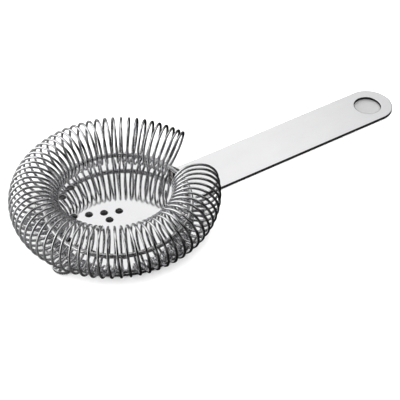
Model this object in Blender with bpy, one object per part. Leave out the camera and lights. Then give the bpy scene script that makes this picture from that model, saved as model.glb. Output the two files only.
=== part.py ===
"""Hawthorne strainer: a flat steel plate, a wire ring held above it on lugs, and a coil spring round the ring.

It lies on its flat back with the spring up. The design is drawn about the centre of the round plate, on
that back face, with +X along the handle and +Z up. An empty carries every piece and stands so that the
origin of the part is the centre of the whole footprint. Lengths are in metres and angles in degrees.
"""

import math

import bmesh
import bpy
from mathutils import Vector

# Driving dimensions
OVERALL_LENGTH = 0.164
SPRING_OUTER_DIAMETER = 0.075

# Plate: disc, two ears and the handle, cut from one sheet
PLATE_THICKNESS = 0.0012
DISC_RADIUS = 0.0308
HANDLE_ROOT_WIDTH = 0.0183
HANDLE_END_WIDTH = 0.0189
HANDLE_FILLET = 0.0022
EAR_ANGLE = 156.0
EAR_WIDTH = 0.0080
EAR_REACH = 0.0350
EAR_FILLET = 0.0015
HANG_HOLE_RADIUS = 0.0054
HANG_HOLE_SETBACK = 0.0102

# Perforations: a V that opens away from the handle, and an arc along the far rim
PERFORATION_RADIUS = 0.0013
V_HALF_ANGLE = 22.5
V_PITCH = 0.00545
V_HOLES_PER_ARM = 3
ARC_RADIUS = 0.0224
ARC_PITCH = 14.6
ARC_HOLES = 10

# Carrier ring: round wire over the plate, inside the coil
RING_RADIUS = 0.0261
RING_WIRE_RADIUS = 0.00085
RING_HEIGHT = 0.0041

# Lugs that hold the ring: two at the handle, one slim post on the far side
LUG_ANGLE = 12.0
LUG_WIDTH = 0.0023
LUG_THICKNESS = 0.0012
POST_RADIUS = 0.0005
SEAM = 0.0001

# Coil spring: its tube runs round the ring and stays open at the handle
TUBE_RADIUS = 0.0088
SPRING_WIRE_RADIUS = 0.00045
SPRING_SHIFT = Vector((-0.0011, -0.0003, 0.0))
TUBE_CLEARANCE = 0.00095
TURNS = 65
FIRST_TURN = -0.12
LAST_TURN = TURNS - 0.25
START_ANGLE = 13.6
END_ANGLE = 341.5
END_TURNS = 1.6
START_CLOSING = 0.60
END_CLOSING = 0.35

# The first turns lean towards the handle, turn off the radius and stand further out
LEAN = 14.0
LEAN_SPAN = 18.0
YAW = 22.0
YAW_SPAN = 20.0
FLARE = 0.0009
FLARE_SPAN = 12.0

# How finely the round shapes are cut into facets
ARC_STEP = 6.0
PERFORATION_SIDES = 16
HANG_HOLE_SIDES = 40
RING_STEPS = 90
RING_SIDES = 10
COIL_STEPS_PER_TURN = 12
COIL_SIDES = 4
POST_SIDES = 10

STEEL = (0.82, 0.82, 0.83)

plate_top = PLATE_THICKNESS
coil_radius = TUBE_RADIUS - SPRING_WIRE_RADIUS
spring_radius = SPRING_OUTER_DIAMETER / 2 - TUBE_RADIUS
spring_centre = SPRING_SHIFT + Vector((0, 0, plate_top + TUBE_CLEARANCE + TUBE_RADIUS))
ring_centre_height = plate_top + RING_HEIGHT
spring_far_side = SPRING_OUTER_DIAMETER / 2 - SPRING_SHIFT.x
handle_tip = OVERALL_LENGTH - spring_far_side
plate_centre = Vector(((spring_far_side - handle_tip) / 2, -SPRING_SHIFT.y, 0))


def clear_scene():
    for existing in list(bpy.data.objects):
        bpy.data.objects.remove(existing, do_unlink=True)


def add_plate_centre():
    """The empty at the centre of the round plate, about which every piece is placed."""
    empty = bpy.data.objects.new("plate_centre", None)
    empty.location = plate_centre
    bpy.context.scene.collection.objects.link(empty)
    return empty


def steel(name, roughness):
    material = bpy.data.materials.new(name)
    material.use_nodes = True
    shader = material.node_tree.nodes["Principled BSDF"]
    shader.inputs["Base Color"].default_value = (*STEEL, 1.0)
    shader.inputs["Metallic"].default_value = 1.0
    shader.inputs["Roughness"].default_value = roughness
    return material


def add_object(name, bm, material, smooth_angle=None):
    """Turn a bmesh into a named object on the plate's centre, with its faces pointing out."""
    bmesh.ops.recalc_face_normals(bm, faces=bm.faces)
    mesh = bpy.data.meshes.new(name)
    bm.to_mesh(mesh)
    bm.free()
    if smooth_angle is not None:
        mesh.shade_smooth()
        mesh.set_sharp_from_angle(angle=math.radians(smooth_angle))
    mesh.materials.append(material)
    part = bpy.data.objects.new(name, mesh)
    part.parent = bpy.data.objects["plate_centre"]
    bpy.context.scene.collection.objects.link(part)
    return part


def direction(angle):
    return Vector((math.cos(math.radians(angle)), math.sin(math.radians(angle)), 0.0))


def arc(centre, radius, start, end, step=ARC_STEP):
    """Points on an arc from start to end, both included."""
    count = max(2, math.ceil(abs(end - start) / step))
    return [centre + direction(start + (end - start) * i / count) * radius for i in range(count + 1)]


def circle(centre, radius, sides):
    return [centre + direction(360.0 * i / sides) * radius for i in range(sides)]


def turned(point, angle):
    """The point after a turn of angle about +Z."""
    return direction(angle) * point.x + direction(angle + 90) * point.y


def tab(angle, root_width, end_width, reach, fillet):
    """Outline of a round-ended tab that grows out of the disc along angle, fillets included."""
    half_root = root_width / 2
    half_end = end_width / 2
    fillet_y = half_root + fillet
    fillet_x = math.sqrt((DISC_RADIUS + fillet) ** 2 - fillet_y**2)
    meets_disc = math.degrees(math.atan2(fillet_y, fillet_x))
    fillet_arc = arc(Vector((fillet_x, fillet_y, 0)), fillet, meets_disc - 180, -90, 30)
    upper = list(reversed(fillet_arc))
    lower = [Vector((p.x, -p.y, 0)) for p in fillet_arc]
    end = arc(Vector((reach - half_end, 0, 0)), half_end, -90, 90)
    return [turned(point, angle) for point in lower + end + upper]


def plate_outline():
    """The plate's outer edge, anticlockwise: three tabs joined by stretches of the disc's rim."""
    tabs = [
        tab(0, HANDLE_ROOT_WIDTH, HANDLE_END_WIDTH, handle_tip, HANDLE_FILLET),
        tab(EAR_ANGLE, EAR_WIDTH, EAR_WIDTH, EAR_REACH, EAR_FILLET),
        tab(-EAR_ANGLE, EAR_WIDTH, EAR_WIDTH, EAR_REACH, EAR_FILLET),
    ]
    outline = []
    for this_tab, next_tab in zip(tabs, tabs[1:] + tabs[:1]):
        outline += this_tab
        start = math.degrees(math.atan2(this_tab[-1].y, this_tab[-1].x))
        end = math.degrees(math.atan2(next_tab[0].y, next_tab[0].x))
        outline += arc(Vector(), DISC_RADIUS, start, start + (end - start) % 360)[1:-1]
    return outline


def perforation_centres():
    """One hole at the disc's centre, the V's two arms and the arc along the far rim."""
    centres = [Vector()]
    for side in (-1, 1):
        arm = direction(180 + side * V_HALF_ANGLE)
        centres += [arm * V_PITCH * (i + 1) for i in range(V_HOLES_PER_ARM)]
    first = 180 - ARC_PITCH * (ARC_HOLES - 1) / 2
    centres += [direction(first + ARC_PITCH * i) * ARC_RADIUS for i in range(ARC_HOLES)]
    return centres


def build_plate():
    """A flat sheet with sheared edges: two pierced faces joined by the walls of every outline."""
    hang_hole = Vector((handle_tip - HANG_HOLE_SETBACK, 0, 0))
    outlines = [plate_outline(), circle(hang_hole, HANG_HOLE_RADIUS, HANG_HOLE_SIDES)]
    outlines += [circle(c, PERFORATION_RADIUS, PERFORATION_SIDES) for c in perforation_centres()]
    bm = bmesh.new()
    rims = {0.0: [], plate_top: []}
    for outline in outlines:
        rings = {z: [bm.verts.new((p.x, p.y, z)) for p in outline] for z in rims}
        for z, ring in rings.items():
            rims[z] += [bm.edges.new((a, b)) for a, b in zip(ring, ring[1:] + ring[:1])]
        low = rings[0.0]
        high = rings[plate_top]
        for i in range(len(outline)):
            j = (i + 1) % len(outline)
            bm.faces.new((low[i], low[j], high[j], high[i]))
    for edges in rims.values():
        bmesh.ops.triangle_fill(bm, use_beauty=True, edges=edges)
    add_object("strainer_plate", bm, steel("plate_steel", 0.08), smooth_angle=35)


def tube(bm, rings, closed):
    """Skin a list of vertex rings; an open tube gets a cap at each end."""
    loops = [[bm.verts.new(p) for p in ring] for ring in rings]
    pairs = list(zip(loops, loops[1:] + loops[:1])) if closed else list(zip(loops, loops[1:]))
    for a, b in pairs:
        for i in range(len(a)):
            j = (i + 1) % len(a)
            bm.faces.new((a[i], a[j], b[j], b[i]))
    if not closed:
        bm.faces.new(loops[0])
        bm.faces.new(loops[-1])


def build_ring():
    bm = bmesh.new()
    rings = []
    for i in range(RING_STEPS):
        out = direction(360.0 * i / RING_STEPS)
        centre = out * RING_RADIUS + Vector((0, 0, ring_centre_height))
        section = [2 * math.pi * k / RING_SIDES for k in range(RING_SIDES)]
        rings.append(
            [
                centre + (out * math.cos(a) + Vector((0, 0, math.sin(a)))) * RING_WIRE_RADIUS
                for a in section
            ]
        )
    tube(bm, rings, closed=True)
    add_object("carrier_ring", bm, steel("ring_steel", 0.12), smooth_angle=60)


def lug_heights():
    """Lowest and highest point of a lug, between the plate and the ring's underside."""
    return plate_top + SEAM, ring_centre_height - RING_WIRE_RADIUS - SEAM


def build_lug(name, angle):
    low, high = lug_heights()
    bm = bmesh.new()
    bmesh.ops.create_cube(bm, size=1.0)
    for vertex in bm.verts:
        vertex.co.x *= LUG_THICKNESS
        vertex.co.y *= LUG_WIDTH
        vertex.co.z *= high - low
    lug = add_object(name, bm, steel(name + "_steel", 0.2))
    lug.location = direction(angle) * RING_RADIUS + Vector((0, 0, (low + high) / 2))
    lug.rotation_euler.z = math.radians(angle)


def build_post():
    """A slim round post under the ring, halfway between the two turns nearest the far side."""
    low, high = lug_heights()
    bm = bmesh.new()
    bmesh.ops.create_cone(
        bm,
        cap_ends=True,
        segments=POST_SIDES,
        radius1=POST_RADIUS,
        radius2=POST_RADIUS,
        depth=high - low,
    )
    post = add_object("far_ring_post", bm, steel("post_steel", 0.2), smooth_angle=60)
    post.location = direction(post_angle()) * RING_RADIUS + Vector((0, 0, (low + high) / 2))


def turn_angle(turn):
    """Angle round the ring after so many turns. The pitch closes up towards both ends."""

    def travelled(t):
        start = START_CLOSING * END_TURNS * (1 - math.exp(-t / END_TURNS))
        end = END_CLOSING * END_TURNS * (math.exp(-(TURNS - t) / END_TURNS) - math.exp(-TURNS / END_TURNS))
        return t - start - end

    return START_ANGLE + (END_ANGLE - START_ANGLE) * travelled(turn) / travelled(TURNS)


def crossing_turn():
    """Fraction of a turn at which the wire passes under the ring on the far side."""
    inwards = (spring_radius - SPRING_SHIFT.x - RING_RADIUS) / coil_radius
    return 0.75 + math.degrees(math.asin(inwards)) / 360


def post_angle():
    """Halfway between the two crossings that lie either side of the far point."""
    turn = crossing_turn()
    while turn_angle(turn + 1) < 180:
        turn += 1
    return (turn_angle(turn) + turn_angle(turn + 1)) / 2


def coil_frame(turn):
    """Centre of the tube, from the spring's own centre, and the two unit vectors that span one turn's plane."""
    angle = turn_angle(turn)
    along = max(0.0, angle - START_ANGLE)
    lean = math.radians(LEAN) * math.exp(-along / LEAN_SPAN)
    yaw = YAW * math.exp(-along / YAW_SPAN)
    radius = spring_radius + FLARE * math.exp(-along / FLARE_SPAN)
    outward = direction(angle + yaw)
    sideways = direction(angle + yaw + 90)
    upward = Vector((0, 0, 1)) * math.cos(lean) - sideways * math.sin(lean)
    return direction(angle) * radius, outward, upward


def wire_point(turn, radius):
    """A point that stands radius from the tube's centre, on the coil's path after so many turns."""
    centre, outward, upward = coil_frame(turn)
    phase = math.pi + 2 * math.pi * turn
    return centre + (outward * math.cos(phase) - upward * math.sin(phase)) * radius


def build_spring():
    """One continuous wire about the spring's centre. It starts low inside the ring and ends low as well."""
    steps = round((LAST_TURN - FIRST_TURN) * COIL_STEPS_PER_TURN)
    step = (LAST_TURN - FIRST_TURN) / steps
    half_step = math.pi * step
    path_radius = coil_radius * (1 + (1 / math.cos(half_step) - 1) / 2)
    corner = SPRING_WIRE_RADIUS * math.sqrt(math.pi / 2)
    rings = []
    for i in range(steps + 1):
        turn = FIRST_TURN + i * step
        here = wire_point(turn, path_radius)
        ahead = wire_point(turn + step / 4, path_radius)
        tangent = (ahead - wire_point(turn - step / 4, path_radius)).normalized()
        away = (here - coil_frame(turn)[0]).normalized()
        away = (away - tangent * away.dot(tangent)).normalized()
        across = tangent.cross(away)
        ring = []
        for k in range(COIL_SIDES):
            a = 2 * math.pi * (k + 0.5) / COIL_SIDES
            ring.append(here + (away * math.cos(a) + across * math.sin(a)) * corner)
        rings.append(ring)
    bm = bmesh.new()
    tube(bm, rings, closed=False)
    spring = add_object("coil_spring", bm, steel("spring_steel", 0.12), smooth_angle=95)
    spring.location = spring_centre


def main():
    clear_scene()
    add_plate_centre()
    build_plate()
    build_ring()
    build_lug("handle_lug_left", LUG_ANGLE)
    build_lug("handle_lug_right", -LUG_ANGLE)
    build_post()
    build_spring()


main()
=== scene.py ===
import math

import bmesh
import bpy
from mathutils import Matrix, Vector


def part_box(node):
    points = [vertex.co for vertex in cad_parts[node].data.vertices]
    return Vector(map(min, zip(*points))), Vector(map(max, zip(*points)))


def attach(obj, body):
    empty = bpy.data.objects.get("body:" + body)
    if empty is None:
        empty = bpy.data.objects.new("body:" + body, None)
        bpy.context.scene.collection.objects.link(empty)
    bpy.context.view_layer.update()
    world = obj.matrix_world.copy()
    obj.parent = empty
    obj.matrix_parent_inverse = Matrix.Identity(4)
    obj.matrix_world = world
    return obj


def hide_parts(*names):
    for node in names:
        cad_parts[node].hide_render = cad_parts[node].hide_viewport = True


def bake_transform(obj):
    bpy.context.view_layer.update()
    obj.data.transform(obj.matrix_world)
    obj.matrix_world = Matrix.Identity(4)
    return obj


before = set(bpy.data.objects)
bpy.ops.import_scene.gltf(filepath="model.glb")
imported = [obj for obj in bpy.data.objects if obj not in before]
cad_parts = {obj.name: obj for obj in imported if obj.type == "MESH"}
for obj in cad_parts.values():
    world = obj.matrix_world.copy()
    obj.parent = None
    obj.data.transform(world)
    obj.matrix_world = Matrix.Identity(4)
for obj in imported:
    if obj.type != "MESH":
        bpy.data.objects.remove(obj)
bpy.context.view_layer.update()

# Looks of the hawthorne strainer: a polished sheet with eased edges, a wire ring on its supports, and the
# round wire of the spring, on a pale floor in soft studio light. Lengths are in metres, angles in degrees.
# The design is drawn about the centre of the round plate, which the frame gives as disc_centre.

# Places taken from the frame
plate_low, plate_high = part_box("strainer_plate")
ring_low, ring_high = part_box("carrier_ring")
spring_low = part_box("coil_spring")[0]
post_low, post_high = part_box("far_ring_post")
disc_centre = Vector(((ring_low.x + ring_high.x) / 2, (ring_low.y + ring_high.y) / 2, 0.0))
plate_top = plate_high.z
handle_tip = plate_high.x - disc_centre.x
ring_height = (ring_low.z + ring_high.z) / 2
post_place = (post_low + post_high) / 2 - disc_centre

# Plate
DISC_RADIUS = 0.0308
HANDLE_ROOT_WIDTH = 0.0183
HANDLE_END_WIDTH = 0.0189
HANDLE_FILLET = 0.0022
EAR_ANGLE = 156.0
EAR_WIDTH = 0.0080
EAR_REACH = 0.0350
EAR_FILLET = 0.0015
HANG_HOLE_RADIUS = 0.0054
HANG_HOLE_SETBACK = 0.0102
PERFORATION_RADIUS = 0.0013
V_HALF_ANGLE = 22.5
V_PITCH = 0.00545
V_HOLES_PER_ARM = 3
ARC_RADIUS = 0.0224
ARC_PITCH = 14.6
ARC_HOLES = 10
EDGE_EASING = 0.00022
EDGE_FLAT = 0.00010
# How level a surface is, from 0 to 1, where the sheet's sheared edge gives way to its polished face
SHEET_FACE_LEVEL = (0.55, 0.97)
EASING_STEPS = 4
OUTLINE_STEP = 2.0
FILLET_STEP = 6
PERFORATION_SIDES = 40
HANG_HOLE_SIDES = 96

# Ring and its supports
RING_WIRE_RADIUS = 0.00085
RING_STEPS = 240
RING_SIDES = 14
LUG_ANGLE = 12.0
LUG_WIDTH = 0.0023
LUG_THICKNESS = 0.0012
LUG_EASING = LUG_THICKNESS / 5
POST_RADIUS = 0.0005
FOOT_SINK = 0.00007
HEAD_DROP = 0.0004
WELD_FOOT = 0.00045
WELD_HEAD = 0.00014
WELD_HEAD_HEIGHT = 2 * WELD_HEAD
SUPPORT_STEPS = 14
CORNER_STEP = 18

# Spring
TUBE_RADIUS = 0.0088
SPRING_WIRE_RADIUS = 0.00045
SPRING_SHIFT = Vector((-0.0011, -0.0003, 0.0))
SPRING_RADIUS = 0.0287
TURNS = 65
FIRST_TURN = -0.12
LAST_TURN = TURNS - 0.25
START_ANGLE = 13.6
END_ANGLE = 341.5
# The pitch closes up by these shares at the two ends, over about END_TURNS turns
END_TURNS = 1.6
START_CLOSING = 0.60
END_CLOSING = 0.35
# The first turns lean, turn aside and stand further out; each fades over its span, in degrees round the ring
LEAN = 14.0
LEAN_SPAN = 18.0
YAW = 22.0
YAW_SPAN = 20.0
FLARE = 0.0009
FLARE_SPAN = 12.0
COIL_STEPS_PER_TURN = 40
COIL_SIDES = 12
CUT_END_SCALE = 0.7

ring_radius = (ring_high.x - ring_low.x) / 2 - RING_WIRE_RADIUS
hang_hole = Vector((handle_tip - HANG_HOLE_SETBACK, 0, 0))
coil_radius = TUBE_RADIUS - SPRING_WIRE_RADIUS
spring_centre = disc_centre + SPRING_SHIFT + Vector((0, 0, spring_low.z + TUBE_RADIUS))

# Camera
CAMERA_AZIMUTH = -32.31
CAMERA_ELEVATION = 43.65
CAMERA_DISTANCE = 0.3458
CAMERA_AIM = Vector((0.02766, -0.01078, 0.0))
CAMERA_LENS = 85.3

# Studio. The steel mirrors a sky of (place, grey) stops. Places run from 0, straight down, to 1, straight up,
# and from 0, towards the camera, to 1, straight away from it. The two greys are multiplied.
SKY_BY_HEIGHT = (
    (0.10, 0.85),
    (0.49, 0.35),
    (0.50, 0.20),
    (0.62, 0.17),
    (0.72, 0.02),
    (0.90, 0.015),
    (1.0, 0.36),
)
SKY_BY_DEPTH = ((0.30, 0.5), (0.75, 1.0))
# The camera itself sees a plain backdrop
BACKDROP_GREY = 1.0
TONE_GAMMA = 0.8
# Pale panels: azimuth to the left of straight away from the camera, elevation, half width, soft edge, grey
PANELS = (
    (6, 50, 12, 28, 0.985),
    (88, 14, 40, 8, 1.35),
    (110, 62, 12, 6, 0.55),
    (-110, 62, 13, 6, 0.50),
    (-40, 42, 12, 7, 0.75),
    (180, 2, 12, 8, 0.15),
)
# Soft boxes: name, azimuth as above, elevation, power
SOFT_BOXES = (("back_box", 0, 45, 15.0), ("front_fill", 180, 60, 22.0))
SOFT_BOX_SIZE = 1.3
SOFT_BOX_DISTANCE = 1.2

# Floor
FLOOR_HALF_SIZE = 0.6
FLOOR_GAP = 0.0001
FLOOR_GREY = 0.87
# Painted shade: the floor's grey inside the hang hole
PAINTED_SHADE_GREY_IN_HANG_HOLE = 0.35
# Painted shade: the floor's grey under the round plate, seen through the perforations
PAINTED_SHADE_GREY_UNDER_DISC = 0.03
HOLE_SHADE_EDGE = 0.0015
DISC_SHADE_EDGE = 0.0092
# In the steel's reflections the floor goes from dark to pale between these places, left of the frame's origin
FLOOR_GREY_IN_STEEL = (0.01, 0.28)
FLOOR_PALES_LEFT = (0.03, 0.10)
CLEAR_RAY_LENGTH = 0.0003


# Geometry helpers


def direction(angle):
    """Level unit vector, angle from +X."""
    return Vector((math.cos(math.radians(angle)), math.sin(math.radians(angle)), 0.0))


def turned(point, angle):
    """The point after a turn of angle about +Z."""
    return direction(angle) * point.x + direction(angle + 90) * point.y


def arc(centre, radius, start, end, step=OUTLINE_STEP):
    """Points on an arc from start to end, both included."""
    count = max(2, math.ceil(abs(end - start) / step))
    return [centre + direction(start + (end - start) * i / count) * radius for i in range(count + 1)]


def circle(centre, radius, sides):
    return [centre + direction(360.0 * i / sides) * radius for i in range(sides)]


def section_outline(half_x, half_y, corner):
    """A rounded rectangle, or a circle when both halves equal the corner."""
    points = []
    for quarter, (sx, sy) in enumerate(((1, 1), (-1, 1), (-1, -1), (1, -1))):
        centre = Vector((sx * (half_x - corner), sy * (half_y - corner), 0))
        points += arc(centre, corner, 90 * quarter, 90 * quarter + 90, CORNER_STEP)
    return points


def studio_direction(azimuth, elevation):
    """Unit vector; azimuth is counted from straight away from the camera, to the left."""
    flat = direction(90 + CAMERA_AZIMUTH + azimuth)
    rise = math.radians(elevation)
    return flat * math.cos(rise) + Vector((0, 0, math.sin(rise)))


def add_piece(name, bm, material, node):
    """A new piece that stands for a CAD node, with its faces pointing out."""
    bmesh.ops.recalc_face_normals(bm, faces=bm.faces)
    mesh = bpy.data.meshes.new(name)
    bm.to_mesh(mesh)
    bm.free()
    mesh.materials.append(material)
    piece = bpy.data.objects.new(name, mesh)
    bpy.context.scene.collection.objects.link(piece)
    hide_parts(node)
    return piece


def skin(bm, rings, closed=False):
    """Faces over a list of vertex rings; an open skin gets a cap at each end."""
    loops = [[bm.verts.new(p) for p in ring] for ring in rings]
    pairs = list(zip(loops, loops[1:]))
    if closed:
        pairs.append((loops[-1], loops[0]))
    for a, b in pairs:
        for i in range(len(a)):
            j = (i + 1) % len(a)
            bm.faces.new((a[i], a[j], b[j], b[i])).smooth = True
    if not closed:
        bm.faces.new(loops[0]).smooth = True
        bm.faces.new(loops[-1]).smooth = True


def wire_section(centre, across, up, radius, sides):
    """Points round a wire's centre, in the plane of two unit vectors."""
    turns = [2 * math.pi * i / sides for i in range(sides)]
    return [centre + (across * math.cos(turn) + up * math.sin(turn)) * radius for turn in turns]


def store_wire_coordinates(mesh, sides, step_length):
    """Give every point its place round the wire's section and along its length, for the drawing marks."""
    marks = mesh.attributes.new("wire_place", "FLOAT_VECTOR", "POINT")
    for i, value in enumerate(marks.data):
        turn = 2 * math.pi * (i % sides) / sides
        value.vector = (math.cos(turn), math.sin(turn), (i // sides) * step_length)


# Node helpers

# Places of the two inputs and the output of a mix node, by the kind of value that it mixes
MIX_SOCKETS = {"FLOAT": (2, 3, 0), "VECTOR": (4, 5, 1), "RGBA": (6, 7, 2)}
# Most values of a noise lie between these
NOISE_LOW = 0.3
NOISE_HIGH = 0.7


def add_node(tree, kind, **values):
    """A node with its settings and input values; names that are not settings are taken as inputs."""
    node = tree.nodes.new(kind)
    for key, value in values.items():
        if hasattr(node, key):
            setattr(node, key, value)
        else:
            node.inputs[key].default_value = value
    return node


def feed(tree, value, socket):
    """Give an input a number, vector or colour, or link it to another node's output."""
    if isinstance(value, bpy.types.NodeSocket):
        tree.links.new(value, socket)
    else:
        socket.default_value = value


def grey_colour(grey):
    return (grey, grey, grey, 1.0)


def noise(tree, coordinates, stretch, detail=4.0, roughness=0.55):
    """Noise over coordinates that are stretched by a factor on each axis."""
    mapping = add_node(tree, "ShaderNodeMapping", Scale=stretch)
    feed(tree, coordinates, mapping.inputs["Vector"])
    texture = add_node(tree, "ShaderNodeTexNoise", Scale=1.0, Detail=detail, Roughness=roughness)
    feed(tree, mapping.outputs["Vector"], texture.inputs["Vector"])
    return texture.outputs["Fac"]


def remap(tree, value, low, high, from_low=NOISE_LOW, from_high=NOISE_HIGH):
    """A value that runs from low to high while its source runs from from_low to from_high."""
    node = add_node(tree, "ShaderNodeMapRange")
    for name, setting in (("From Min", from_low), ("From Max", from_high), ("To Min", low), ("To Max", high)):
        node.inputs[name].default_value = setting
    feed(tree, value, node.inputs["Value"])
    return node.outputs["Result"]


def mix(tree, factor, a, b, kind="FLOAT", **settings):
    """Blend two values of one kind; factor, a and b may each be a value or a socket."""
    node = add_node(tree, "ShaderNodeMix", data_type=kind, **settings)
    first, second, result = MIX_SOCKETS[kind]
    for value, place in ((factor, 0), (a, first), (b, second)):
        feed(tree, value, node.inputs[place])
    return node.outputs[result]


def tint(tree, factor, dark, light):
    """A colour between a dark and a light one."""
    return mix(tree, factor, (*dark, 1.0), (*light, 1.0), "RGBA")


def arithmetic(tree, operation, *values):
    """One step of arithmetic on numbers or sockets."""
    node = add_node(tree, "ShaderNodeMath", operation=operation)
    for value, place in zip(values, node.inputs):
        feed(tree, value, place)
    return node.outputs["Value"]


def vector_measure(tree, operation, socket, vector):
    """The distance or dot product between a socket's vector and a fixed one."""
    node = add_node(tree, "ShaderNodeVectorMath", operation=operation)
    feed(tree, socket, node.inputs[0])
    feed(tree, vector, node.inputs[1])
    return node.outputs["Value"]


def bump(tree, height, distance, strength=1.0, under=None):
    """A surface normal raised by height, on top of another bump if one is given."""
    node = add_node(tree, "ShaderNodeBump", Strength=strength, Distance=distance)
    feed(tree, height, node.inputs["Height"])
    if under is not None:
        feed(tree, under, node.inputs["Normal"])
    return node.outputs["Normal"]


# Materials


def new_material(name):
    material = bpy.data.materials.new(name)
    material.use_nodes = True
    return material, material.node_tree, material.node_tree.nodes["Principled BSDF"]


def new_steel(name):
    material, tree, shader = new_material(name)
    shader.inputs["Metallic"].default_value = 1.0
    return material, tree, shader


def polished_sheet():
    """Mirror-polished sheet: faint waves, hairline scratches and smears; its sheared edges are duller."""
    material, tree, shader = new_steel("polished_sheet")
    place = add_node(tree, "ShaderNodeTexCoord").outputs["Object"]
    geometry = add_node(tree, "ShaderNodeNewGeometry")
    split = add_node(tree, "ShaderNodeSeparateXYZ")
    feed(tree, geometry.outputs["True Normal"], split.inputs["Vector"])
    level = arithmetic(tree, "ABSOLUTE", split.outputs["Z"])
    face = remap(tree, level, 0.0, 1.0, *SHEET_FACE_LEVEL)
    smears = noise(tree, place, (70, 110, 70), detail=5)
    hairlines = noise(tree, place, (260, 5200, 900), detail=2)
    shear = noise(tree, place, (4200, 4200, 250), detail=3)
    waves = noise(tree, place, (28, 42, 28), detail=1)
    face_roughness = remap(tree, smears, 0.035, 0.085)
    edge_roughness = remap(tree, shear, 0.20, 0.42)
    feed(tree, mix(tree, face, edge_roughness, face_roughness), shader.inputs["Roughness"])
    feed(tree, tint(tree, smears, (0.86, 0.86, 0.87), (0.93, 0.93, 0.935)), shader.inputs["Base Color"])
    waved = bump(tree, waves, 0.00010, strength=0.5)
    scratched = bump(tree, hairlines, 0.0000012, strength=0.6, under=waved)
    sheared = bump(tree, shear, 0.00001, strength=0.7)
    feed(tree, mix(tree, face, sheared, scratched, "VECTOR"), shader.inputs["Normal"])
    return material


def drawn_wire(name, dark, light, roughness):
    """Bright drawn wire: die lines along its length, small patches of rougher skin."""
    material, tree, shader = new_steel(name)
    marks = add_node(tree, "ShaderNodeAttribute", attribute_name="wire_place").outputs["Vector"]
    die_lines = noise(tree, marks, (9, 9, 60), detail=3)
    patches = noise(tree, marks, (1.2, 1.2, 700), detail=4)
    feed(tree, remap(tree, patches, *roughness), shader.inputs["Roughness"])
    feed(tree, tint(tree, patches, dark, light), shader.inputs["Base Color"])
    feed(tree, bump(tree, die_lines, 0.000004, strength=0.6), shader.inputs["Normal"])
    return material


def welded_steel_painted_shade():
    """Supports: polished, with a duller, faintly straw-tinted skin from the weld, and a base colour kept dark
    as painted shade.
    """
    material, tree, shader = new_steel("welded_steel_painted_shade")
    place = add_node(tree, "ShaderNodeTexCoord").outputs["Object"]
    grain = noise(tree, place, (2600, 2600, 2600), detail=4)
    heat = noise(tree, place, (500, 500, 500), detail=2)
    feed(tree, remap(tree, grain, 0.08, 0.20), shader.inputs["Roughness"])
    # Painted shade: both colours are kept dark so the supports show as the black area under the ring; the
    # straw tone is the weld's tint
    feed(tree, tint(tree, heat, (0.30, 0.285, 0.265), (0.50, 0.50, 0.50)), shader.inputs["Base Color"])
    feed(tree, bump(tree, grain, 0.00002, strength=0.5), shader.inputs["Normal"])
    return material


def spot(tree, position, centre, inner, outer):
    """1 on the floor within the inner radius round a centre, fading to 0 at the outer radius."""
    on_floor = centre + Vector((0, 0, plate_low.z - FLOOR_GAP))
    distance = vector_measure(tree, "DISTANCE", position, on_floor)
    return remap(tree, distance, 1.0, 0.0, inner, outer)


def pale_floor():
    """Matt pale floor, with painted shade in the hang hole and under the round plate.

    The steel mirrors it darker, as it would with black cards laid round the object. It is clear from below:
    to the camera, and to the plate's underside, whose reflected rays are shorter than any others.
    """
    material, tree, shader = new_material("pale_floor")
    shader.inputs["Roughness"].default_value = 0.75
    shader.inputs["Specular IOR Level"].default_value = 0.2
    geometry = add_node(tree, "ShaderNodeNewGeometry")
    position = geometry.outputs["Position"]
    path = add_node(tree, "ShaderNodeLightPath")
    mirrored = path.outputs["Is Glossy Ray"]
    hole_edge = HANG_HOLE_RADIUS + HOLE_SHADE_EDGE
    # Painted shade on the floor inside the hang hole
    hang_hole_painted_shade = spot(tree, position, disc_centre + hang_hole, HANG_HOLE_RADIUS, hole_edge)
    # Painted shade on the floor under the round plate
    disc_painted_shade = spot(tree, position, disc_centre, DISC_RADIUS - DISC_SHADE_EDGE, DISC_RADIUS)
    leftwards = vector_measure(tree, "DOT_PRODUCT", position, studio_direction(90, 0))
    in_steel = remap(tree, leftwards, *FLOOR_GREY_IN_STEEL, *FLOOR_PALES_LEFT)
    grey = mix(tree, hang_hole_painted_shade, FLOOR_GREY, PAINTED_SHADE_GREY_IN_HANG_HOLE)
    grey = mix(tree, disc_painted_shade, grey, PAINTED_SHADE_GREY_UNDER_DISC)
    feed(tree, mix(tree, mirrored, grey, in_steel), shader.inputs["Base Color"])
    short = arithmetic(tree, "LESS_THAN", path.outputs["Ray Length"], CLEAR_RAY_LENGTH)
    from_underside = arithmetic(tree, "MULTIPLY", mirrored, short)
    see_through = arithmetic(tree, "MAXIMUM", geometry.outputs["Backfacing"], from_underside)
    clear = add_node(tree, "ShaderNodeBsdfTransparent")
    sides = add_node(tree, "ShaderNodeMixShader")
    sources = (see_through, shader.outputs["BSDF"], clear.outputs["BSDF"])
    for source, socket in zip(sources, sides.inputs):
        feed(tree, source, socket)
    feed(tree, sides.outputs["Shader"], tree.nodes["Material Output"].inputs["Surface"])
    return material


# Plate


def tab(angle, root_width, end_width, reach, fillet):
    """Outline of a round-ended tab that grows out of the disc along angle, fillets included."""
    half_root = root_width / 2
    half_end = end_width / 2
    fillet_y = half_root + fillet
    fillet_x = math.sqrt((DISC_RADIUS + fillet) ** 2 - fillet_y**2)
    meets_disc = math.degrees(math.atan2(fillet_y, fillet_x))
    upper = arc(Vector((fillet_x, fillet_y, 0)), fillet, -90, meets_disc - 180, FILLET_STEP)
    lower = [Vector((p.x, -p.y, 0)) for p in reversed(upper)]
    end = arc(Vector((reach - half_end, 0, 0)), half_end, -90, 90)
    return [turned(point, angle) for point in lower + end + upper]


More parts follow.
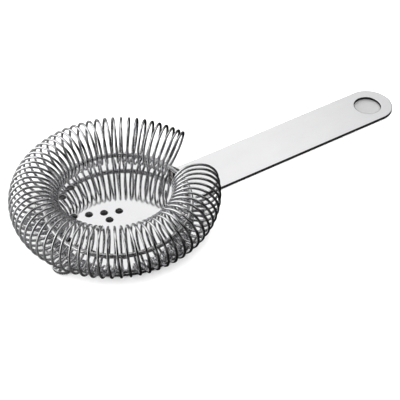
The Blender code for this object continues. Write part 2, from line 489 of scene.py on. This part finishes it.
def plate_outline():
    """The plate's outer edge, anticlockwise: three tabs joined by stretches of the disc's rim."""
    tabs = [
        tab(0, HANDLE_ROOT_WIDTH, HANDLE_END_WIDTH, handle_tip, HANDLE_FILLET),
        tab(EAR_ANGLE, EAR_WIDTH, EAR_WIDTH, EAR_REACH, EAR_FILLET),
        tab(-EAR_ANGLE, EAR_WIDTH, EAR_WIDTH, EAR_REACH, EAR_FILLET),
    ]
    outline = []
    for this_tab, next_tab in zip(tabs, tabs[1:] + tabs[:1]):
        outline += this_tab
        start = math.degrees(math.atan2(this_tab[-1].y, this_tab[-1].x))
        end = math.degrees(math.atan2(next_tab[0].y, next_tab[0].x))
        outline += arc(Vector(), DISC_RADIUS, start, start + (end - start) % 360)[1:-1]
    return outline


def perforation_centres():
    """One hole at the disc's centre, the V's two arms and the arc along the far rim."""
    centres = [Vector()]
    for side in (-1, 1):
        arm = direction(180 + side * V_HALF_ANGLE)
        centres += [arm * V_PITCH * (i + 1) for i in range(V_HOLES_PER_ARM)]
    first = 180 - ARC_PITCH * (ARC_HOLES - 1) / 2
    centres += [direction(first + ARC_PITCH * i) * ARC_RADIUS for i in range(ARC_HOLES)]
    return centres


def inset(outline, distance):
    """The anticlockwise outline moved inwards; a negative distance moves it outwards."""
    moved = []
    for before, here, after in zip(outline[-1:] + outline[:-1], outline, outline[1:] + outline[:1]):
        along = ((here - before).normalized() + (after - here).normalized()).normalized()
        moved.append(here + Vector((-along.y, along.x, 0)) * distance)
    return moved


def edge_profile():
    """(distance from the edge, height) from the lower face, round the eased edge, to the upper face."""
    lower = [(EDGE_EASING + EDGE_FLAT, 0.0)]
    for i in range(EASING_STEPS + 1):
        angle = math.radians(90 * i / EASING_STEPS)
        lower.append((EDGE_EASING * (1 - math.sin(angle)), EDGE_EASING * (1 - math.cos(angle))))
    return lower + [(distance, plate_top - height) for distance, height in reversed(lower)]


def build_plate(material):
    """A pierced sheet: an eased wall round every outline, and a flat face above and below."""
    holes = [circle(hang_hole, HANG_HOLE_RADIUS, HANG_HOLE_SIDES)]
    holes += [circle(c, PERFORATION_RADIUS, PERFORATION_SIDES) for c in perforation_centres()]
    bm = bmesh.new()
    rims = ([], [])
    for outline, into_material in [(plate_outline(), 1)] + [(hole, -1) for hole in holes]:
        loops = []
        for distance, height in edge_profile():
            points = inset(outline, distance * into_material)
            loops.append([bm.verts.new(disc_centre + p + Vector((0, 0, height))) for p in points])
        for low, high in zip(loops, loops[1:]):
            for i in range(len(low)):
                j = (i + 1) % len(low)
                bm.faces.new((low[i], low[j], high[j], high[i])).smooth = True
        for rim, loop in zip(rims, (loops[0], loops[-1])):
            rim += [bm.edges.get((a, b)) for a, b in zip(loop, loop[1:] + loop[:1])]
    for rim in rims:
        bmesh.ops.triangle_fill(bm, use_beauty=True, edges=rim)
        for edge in rim:
            edge.smooth = False
    plate = add_piece("polished_plate", bm, material, "strainer_plate")
    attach(plate, "strainer_body")


# Ring and its supports


def build_ring(material):
    """A round wire closed into a level ring."""
    up = Vector((0, 0, 1))
    rings = []
    for i in range(RING_STEPS):
        out = direction(360.0 * i / RING_STEPS)
        centre = disc_centre + out * ring_radius + Vector((0, 0, ring_height))
        rings.append(wire_section(centre, out, up, RING_WIRE_RADIUS, RING_SIDES))
    bm = bmesh.new()
    skin(bm, rings, closed=True)
    ring = add_piece("ring_wire", bm, material, "carrier_ring")
    store_wire_coordinates(ring.data, RING_SIDES, 2 * math.pi * ring_radius / RING_STEPS)
    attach(ring, "strainer_body")


def build_support(name, node, material, angle, half_x, half_y, corner):
    """An upright with a weld fillet at its foot and a small one where it meets the ring."""
    base = disc_centre + direction(angle) * ring_radius
    foot = plate_top - FOOT_SINK
    head = ring_height - HEAD_DROP
    bm = bmesh.new()
    rings = []
    for i in range(SUPPORT_STEPS + 1):
        share = (1 - math.cos(math.pi * i / SUPPORT_STEPS)) / 2
        height = foot + (head - foot) * share
        low_gap = max(0.0, 1 - (height - foot) / WELD_FOOT)
        high_gap = max(0.0, 1 - (head - height) / WELD_HEAD_HEIGHT)
        flare = WELD_FOOT * (1 - math.sqrt(1 - low_gap**2)) + WELD_HEAD * high_gap**2
        outline = section_outline(half_x + flare, half_y + flare, corner + flare)
        rings.append([base + turned(p, angle) + Vector((0, 0, height)) for p in outline])
    skin(bm, rings)
    support = add_piece(name, bm, material, node)
    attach(support, "strainer_body")


# Spring


def turn_angle(turn):
    """Angle round the ring after so many turns. The pitch closes up towards both ends."""

    def travelled(t):
        start = START_CLOSING * END_TURNS * (1 - math.exp(-t / END_TURNS))
        end = END_CLOSING * END_TURNS * (math.exp(-(TURNS - t) / END_TURNS) - math.exp(-TURNS / END_TURNS))
        return t - start - end

    return START_ANGLE + (END_ANGLE - START_ANGLE) * travelled(turn) / travelled(TURNS)


def coil_frame(turn):
    """Centre of the tube and the two unit vectors that span one turn's plane."""
    angle = turn_angle(turn)
    along = max(0.0, angle - START_ANGLE)
    lean = math.radians(LEAN) * math.exp(-along / LEAN_SPAN)
    yaw = YAW * math.exp(-along / YAW_SPAN)
    radius = SPRING_RADIUS + FLARE * math.exp(-along / FLARE_SPAN)
    outward = direction(angle + yaw)
    sideways = direction(angle + yaw + 90)
    upward = Vector((0, 0, 1)) * math.cos(lean) - sideways * math.sin(lean)
    return spring_centre + direction(angle) * radius, outward, upward


def wire_point(turn):
    """A point on the wire's centre line after so many turns."""
    centre, outward, upward = coil_frame(turn)
    phase = math.pi + 2 * math.pi * turn
    return centre + (outward * math.cos(phase) - upward * math.sin(phase)) * coil_radius


def build_spring(material):
    """One continuous round wire, with its cut ends slightly rounded."""
    steps = round((LAST_TURN - FIRST_TURN) * COIL_STEPS_PER_TURN)
    step = (LAST_TURN - FIRST_TURN) / steps
    rings = []
    for i in range(steps + 1):
        turn = FIRST_TURN + i * step
        here = wire_point(turn)
        tangent = (wire_point(turn + step / 4) - wire_point(turn - step / 4)).normalized()
        away = here - coil_frame(turn)[0]
        away = (away - tangent * away.dot(tangent)).normalized()
        across = tangent.cross(away)
        radius = SPRING_WIRE_RADIUS * (CUT_END_SCALE if i in (0, steps) else 1.0)
        rings.append(wire_section(here, away, across, radius, COIL_SIDES))
    bm = bmesh.new()
    skin(bm, rings)
    spring = add_piece("spring_wire", bm, material, "coil_spring")
    store_wire_coordinates(spring.data, COIL_SIDES, 2 * math.pi * coil_radius * step)
    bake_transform(spring)


# Stage


def build_floor():
    bm = bmesh.new()
    bmesh.ops.create_grid(bm, x_segments=1, y_segments=1, size=FLOOR_HALF_SIZE)
    mesh = bpy.data.meshes.new("floor")
    bm.to_mesh(mesh)
    bm.free()
    mesh.materials.append(pale_floor())
    floor = bpy.data.objects.new("floor", mesh)
    floor.location.z = plate_low.z - FLOOR_GAP
    bpy.context.scene.collection.objects.link(floor)


def grey_ramp(tree, value, stops):
    """A colour ramp through (place, grey) stops."""
    ramp = add_node(tree, "ShaderNodeValToRGB")
    elements = ramp.color_ramp.elements
    while len(elements) < len(stops):
        elements.new(0.5)
    for element, (place, grey) in zip(elements, stops):
        element.position = place
        element.color = grey_colour(grey)
    feed(tree, value, ramp.inputs["Fac"])
    return ramp.outputs["Color"]


def facing(tree, place, vector):
    """How far the view direction points along a vector, from 0 for straight against it to 1."""
    return arithmetic(tree, "MULTIPLY_ADD", vector_measure(tree, "DOT_PRODUCT", place, vector), 0.5, 0.5)


def share_of_turn(angle):
    """What facing gives at an angle from the vector."""
    return (1 + math.cos(math.radians(angle))) / 2


def build_world():
    """A grey sky with soft pale panels for the steel to mirror, and a plain backdrop for the camera."""
    world = bpy.data.worlds.new("studio")
    world.use_nodes = True
    bpy.context.scene.world = world
    tree = world.node_tree
    place = add_node(tree, "ShaderNodeTexCoord").outputs["Generated"]
    by_height = grey_ramp(tree, facing(tree, place, Vector((0, 0, 1))), SKY_BY_HEIGHT)
    by_depth = grey_ramp(tree, facing(tree, place, studio_direction(0, 0)), SKY_BY_DEPTH)
    sky = mix(tree, 1.0, by_height, by_depth, "RGBA", blend_type="MULTIPLY", clamp_result=False)
    for azimuth, elevation, half_width, softness, grey in PANELS:
        stops = ((share_of_turn(half_width + softness), 0.0), (share_of_turn(half_width), grey))
        panel = grey_ramp(tree, facing(tree, place, studio_direction(azimuth, elevation)), stops)
        sky = mix(tree, 1.0, sky, panel, "RGBA", blend_type="LIGHTEN", clamp_result=False)
    to_camera = add_node(tree, "ShaderNodeLightPath").outputs["Is Camera Ray"]
    seen = mix(tree, to_camera, sky, grey_colour(BACKDROP_GREY), "RGBA")
    feed(tree, seen, tree.nodes["Background"].inputs["Color"])


def build_lights():
    """Large soft boxes that only matt surfaces see, so the steel mirrors the studio's panels alone."""
    for name, azimuth, elevation, power in SOFT_BOXES:
        light = bpy.data.lights.new(name, "AREA")
        light.shape = "SQUARE"
        light.size = SOFT_BOX_SIZE
        light.energy = power
        box = bpy.data.objects.new(name, light)
        box.location = studio_direction(azimuth, elevation) * SOFT_BOX_DISTANCE
        box.rotation_mode = "QUATERNION"
        box.rotation_quaternion = (-box.location).to_track_quat("-Z", "Y")
        box.visible_glossy = False
        bpy.context.scene.collection.objects.link(box)


def build_camera():
    azimuth = math.radians(CAMERA_AZIMUTH)
    elevation = math.radians(CAMERA_ELEVATION)
    back = Vector(
        (
            math.sin(azimuth) * math.cos(elevation),
            -math.cos(azimuth) * math.cos(elevation),
            math.sin(elevation),
        )
    )
    camera = bpy.data.objects.new("camera", bpy.data.cameras.new("camera"))
    camera.data.lens = CAMERA_LENS
    camera.data.clip_start = 0.01
    camera.location = disc_centre + CAMERA_AIM + Vector((0, 0, plate_top)) + back * CAMERA_DISTANCE
    camera.rotation_mode = "QUATERNION"
    camera.rotation_quaternion = (-back).to_track_quat("-Z", "Y")
    bpy.context.scene.collection.objects.link(camera)
    bpy.context.scene.camera = camera


sheet = polished_sheet()
spring_steel = drawn_wire("spring_steel", (0.78, 0.78, 0.79), (0.90, 0.90, 0.91), (0.03, 0.09))
ring_steel = drawn_wire("ring_steel", (0.80, 0.80, 0.81), (0.92, 0.92, 0.92), (0.12, 0.22))
support_steel = welded_steel_painted_shade()

build_plate(sheet)
build_ring(ring_steel)
for side, name in ((1, "left"), (-1, "right")):
    build_support(
        f"welded_lug_{name}",
        f"handle_lug_{name}",
        support_steel,
        side * LUG_ANGLE,
        LUG_THICKNESS / 2,
        LUG_WIDTH / 2,
        LUG_EASING,
    )
post_angle = math.degrees(math.atan2(post_place.y, post_place.x))
build_support(
    "welded_post", "far_ring_post", support_steel, post_angle, POST_RADIUS, POST_RADIUS, POST_RADIUS
)
build_spring(spring_steel)

build_floor()
build_world()
build_lights()
build_camera()
bpy.context.scene.view_settings.view_transform = "Standard"
bpy.context.scene.view_settings.gamma = TONE_GAMMA

bpy.context.view_layer.update()
